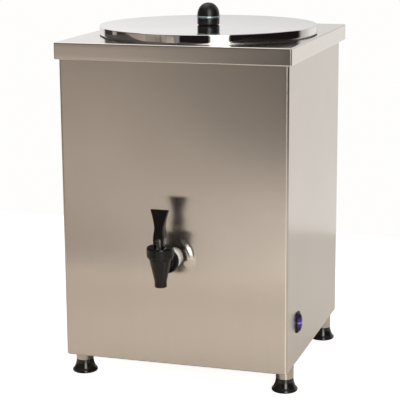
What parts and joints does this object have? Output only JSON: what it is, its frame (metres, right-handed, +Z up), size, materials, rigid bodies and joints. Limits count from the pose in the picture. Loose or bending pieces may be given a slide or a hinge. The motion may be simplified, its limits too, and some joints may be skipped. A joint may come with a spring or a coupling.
{
  "type": "milk dispenser",
  "caption": "Heated milk dispenser: square stainless cabinet on levelling feet, lift-off round lid with a knob, lever tap at the front and a rocker switch low on one side.",
  "frame": {"origin": "middle of the bounding box in plan, at the height of the surface that the feet stand on", "axes": "+Z up; the tap looks along -Y; the switch is on the +X side"},
  "size_m": [0.3654, 0.4361, 0.5684],
  "materials": {
    "brushed_steel": "vertical brushed grain",
    "cover_steel": "fine satin, bright",
    "polished_steel": "mirror polished",
    "plain_steel": "mill finish",
    "fastener_steel": "bright zinc",
    "tap_black": "satin moulded",
    "knob_black": "moulded, slightly glossy",
    "pad_black": "moulded",
    "white_silicone": "soft, matt",
    "seal_rubber": "matt",
    "switch_black": "moulded",
    "rocker_violet": "tinted, lit from inside",
    "boot_clear": "clear flexible",
    "insulation": "felted glass wool",
    "element_sheath": "oxidised",
    "brass": "turned",
    "ceramic_white": "phenolic",
    "gland_black": "moulded nylon"
  },
  "bodies": {
    "cabinet": {"base_pan": "plain_steel", "bush_gasket": "seal_rubber", "cable_gland": "gland_black", "casing_wrap": "brushed_steel", "container_floor": "plain_steel", "container_gasket": "seal_rubber", "drain_cap": "brass", "drain_pipe": "plain_steel", "earth_stud": "fastener_steel", "element_fittings": "brass", "element_terminals": "brass", "foot_nuts": "fastener_steel", "foot_sleeves": "plain_steel", "gland_nut": "gland_black", "heating_element": "element_sheath", "insulation_wrap": "insulation", "milk_container": "plain_steel", "outlet_bush": "plain_steel", "rear_panel": "brushed_steel", "rear_panel_screws": "fastener_steel", "safety_cutout": "ceramic_white", "shank_nut": "fastener_steel", "switch_boot": "boot_clear", "switch_housing": "switch_black", "switch_terminals": "brass", "tap_body": "tap_black", "tap_bonnet": "tap_black", "tap_washer": "white_silicone", "terminal_block": "ceramic_white", "thermostat": "ceramic_white", "top_cover": "cover_steel", "water_tank": "plain_steel"},
    "lid": {"lid": "polished_steel", "knob_base": "knob_black", "knob_ring": "polished_steel", "knob_dome": "knob_black", "knob_washer": "fastener_steel", "knob_screw": "fastener_steel"},
    "tap_valve": {"tap_stem": "fastener_steel", "tap_seat_cup": "white_silicone", "tap_pivot_pin": "fastener_steel", "tap_spring": "fastener_steel"},
    "tap_lever": {"tap_lever": "tap_black"},
    "switch_rocker": {"switch_rocker": "rocker_violet"},
    "foot_front_left": {"foot_pad_front_left": "pad_black", "foot_stud_front_left": "fastener_steel"},
    "foot_front_right": {"foot_pad_front_right": "pad_black", "foot_stud_front_right": "fastener_steel"},
    "foot_rear_left": {"foot_pad_rear_left": "pad_black", "foot_stud_rear_left": "fastener_steel"},
    "foot_rear_right": {"foot_pad_rear_right": "pad_black", "foot_stud_rear_right": "fastener_steel"}
  },
  "joints": [
    {"name": "lid_lift", "type": "slide", "parent": "cabinet", "child": "lid", "axis": [0, 0, 1], "range_m": [0, 0.35]},
    {"name": "tap_valve_lift", "type": "slide", "parent": "cabinet", "child": "tap_valve", "axis": [0, 0, 1], "range_m": [0, 0.0036], "deforming": ["tap_spring"]},
    {"name": "tap_lever_tilt", "type": "hinge", "parent": "tap_valve", "child": "tap_lever", "pos_m": [-0.0058, -0.19795, 0.2399], "axis": [1, 0, 0], "range_deg": [0, 40], "stiffness_Nm_per_rad": 0.06, "springref_deg": -28.65},
    {"name": "switch_rock", "type": "hinge", "parent": "cabinet", "child": "switch_rocker", "pos_m": [0.1677, -0.08895, 0.101], "axis": [0, 1, 0], "range_deg": [0, 18]},
    {"name": "foot_front_left_level", "type": "slide", "parent": "cabinet", "child": "foot_front_left", "axis": [0, 0, -1], "range_m": [0, 0.01]},
    {"name": "foot_front_right_level", "type": "slide", "parent": "cabinet", "child": "foot_front_right", "axis": [0, 0, -1], "range_m": [0, 0.01]},
    {"name": "foot_rear_left_level", "type": "slide", "parent": "cabinet", "child": "foot_rear_left", "axis": [0, 0, -1], "range_m": [0, 0.01]},
    {"name": "foot_rear_right_level", "type": "slide", "parent": "cabinet", "child": "foot_rear_right", "axis": [0, 0, -1], "range_m": [0, 0.01]}
  ],
  "couplings": [
    {"joint": "tap_valve_lift", "follows": "tap_lever_tilt", "m_per_rad": 0.005}
  ]
}
